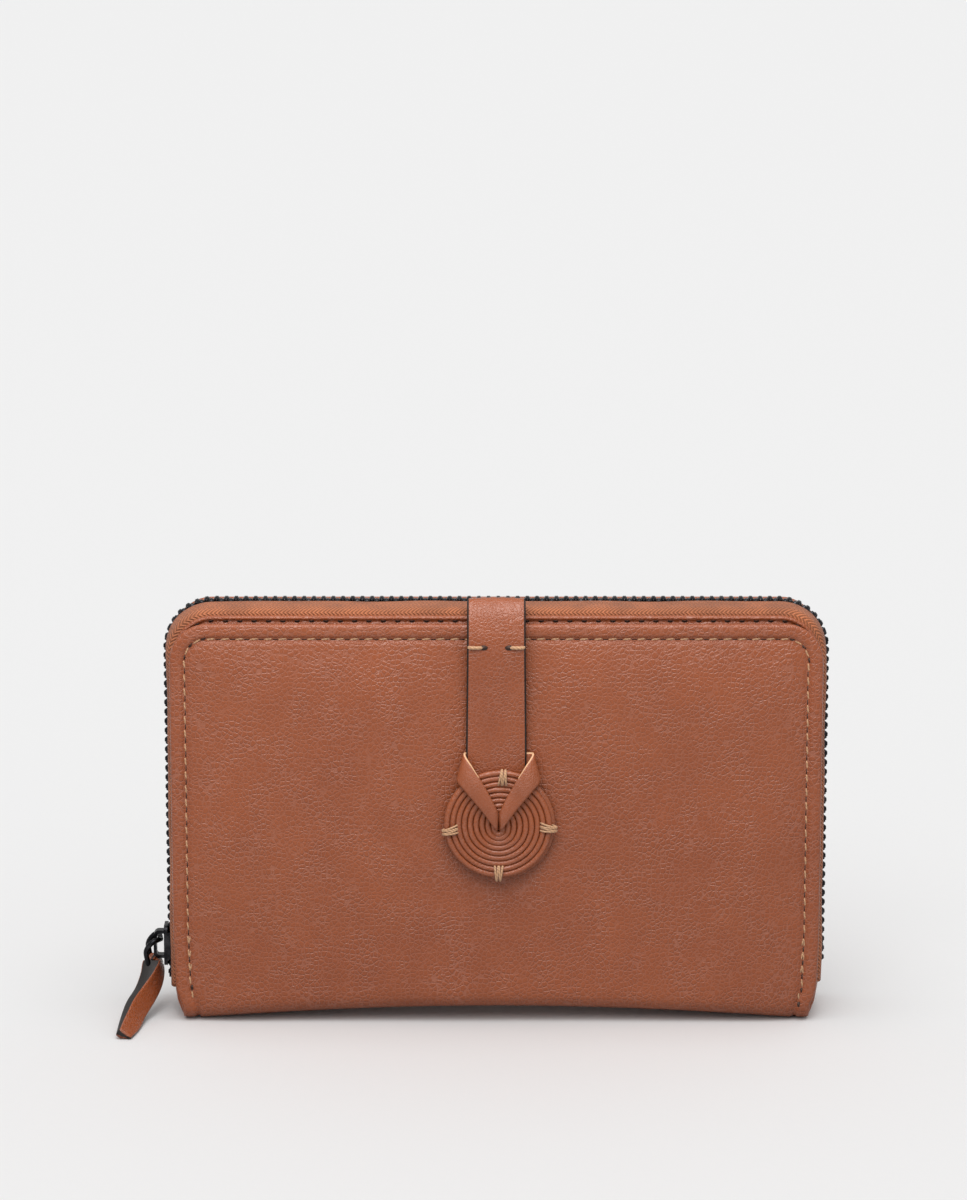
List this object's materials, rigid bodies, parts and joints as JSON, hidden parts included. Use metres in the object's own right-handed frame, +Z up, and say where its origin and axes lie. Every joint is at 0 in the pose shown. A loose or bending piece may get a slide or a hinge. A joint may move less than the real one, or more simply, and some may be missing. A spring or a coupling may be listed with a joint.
{
  "type": "zip around wallet",
  "caption": "Leather zip-around wallet with a slip pocket in front, a snap strap that ends in a coiled leather disc, bellows, card slots and a zipped coin pocket.",
  "frame": {"origin": "centre of the flat base, on the surface that the wallet stands on", "axes": "+X along the wallet, +Y from the front pocket to the back, +Z up"},
  "size_m": [0.2066, 0.0472, 0.1239],
  "materials": {
    "leather": "tan pebbled cowhide, satin",
    "strap_leather": "tan leather with black painted edges",
    "smooth_leather": "smooth tan leather cord and ribbon",
    "slot_leather": "thin tan lining leather",
    "thread": "waxed beige thread",
    "lining": "brown woven lining",
    "board": "stiffening board",
    "zip_tape": "orange-brown herringbone zip tape",
    "black_metal": "black plated metal",
    "snap_metal": "dark nickel magnetic snap"
  },
  "bodies": {
    "back_cover": {"back_panel": "leather", "spine": "leather", "front_fold": "leather", "spine_lining": "lining", "back_stiffener": "board", "back_lining": "lining", "back_card_slot_1": "slot_leather", "back_card_slot_2": "slot_leather", "back_card_slot_3": "slot_leather", "back_card_slot_4": "slot_leather", "back_zip_tape": "zip_tape", "back_zip_teeth": "black_metal", "zip_stop_joined": "black_metal", "zip_stop_back": "black_metal", "gusset_left": "slot_leather", "gusset_right": "slot_leather"},
    "front_cover": {"front_pocket_panel": "leather", "front_pocket_lining": "lining", "front_cover_panel": "leather", "front_stiffener": "board", "front_lining": "lining", "front_card_slot_1": "slot_leather", "front_card_slot_2": "slot_leather", "front_card_slot_3": "slot_leather", "front_zip_tape": "zip_tape", "front_zip_teeth": "black_metal", "zip_stop_front": "black_metal", "strap_bend": "strap_leather", "snap_base": "snap_metal"},
    "strap": {"strap": "strap_leather", "strap_backing": "strap_leather", "disc_base": "strap_leather", "coil_disc": "smooth_leather", "ribbon": "smooth_leather", "thread_bindings": "thread", "snap_cap": "snap_metal"},
    "slider": {"slider_body": "black_metal", "slider_bridge": "black_metal"},
    "bail": {"bail": "black_metal"},
    "pull_tab": {"pull_tab_loop": "strap_leather", "pull_tab": "strap_leather"},
    "coin_pocket": {"coin_wall_front": "lining", "coin_wall_back": "lining", "coin_border": "lining", "coin_tape_front": "zip_tape", "coin_tape_back": "zip_tape", "coin_teeth_front": "black_metal", "coin_teeth_back": "black_metal"},
    "coin_slider": {"coin_slider_body": "black_metal"},
    "coin_puller": {"coin_puller": "black_metal"}
  },
  "joints": [
    {"name": "cover_open", "type": "hinge", "parent": "back_cover", "child": "front_cover", "pos_m": [0, -0.01, 0.004], "axis": [1, 0, 0], "range_deg": [0, 60], "deforming": ["gusset_left", "gusset_right", "front_fold", "front_zip_teeth", "back_zip_teeth"]},
    {"name": "strap_swing", "type": "hinge", "parent": "front_cover", "child": "strap", "pos_m": [0, -0.0122, 0.1192], "axis": [-1, 0, 0], "range_deg": [0, 150], "deforming": ["strap_bend"]},
    {"name": "zip_slide", "type": "slide", "parent": "back_cover", "child": "slider", "axis": [0, 0, 1], "range_m": [0, 0.073]},
    {"name": "bail_swing", "type": "hinge", "parent": "slider", "child": "bail", "pos_m": [-0.09825, 0.001, 0.0204], "axis": [0, 1, 0], "range_deg": [0, 90]},
    {"name": "tab_swing", "type": "hinge", "parent": "bail", "child": "pull_tab", "pos_m": [-0.10065, 0.001, 0.0128], "axis": [0, 1, 0], "range_deg": [0, 70]},
    {"name": "coin_swing", "type": "hinge", "parent": "back_cover", "child": "coin_pocket", "pos_m": [0, 0.0005, 0.004], "axis": [1, 0, 0], "range_deg": [0, 30]},
    {"name": "coin_zip_slide", "type": "slide", "parent": "coin_pocket", "child": "coin_slider", "axis": [1, 0, 0], "range_m": [0, 0.144], "deforming": ["coin_teeth_front", "coin_teeth_back"]},
    {"name": "coin_puller_swing", "type": "hinge", "parent": "coin_slider", "child": "coin_puller", "pos_m": [-0.073, 0.0005, 0.10065], "axis": [0, -1, 0], "range_deg": [0, 150]}
  ],
  "couplings": [
    {"joint": "coin_swing", "follows": "cover_open", "ratio": 0.5}
  ]
}
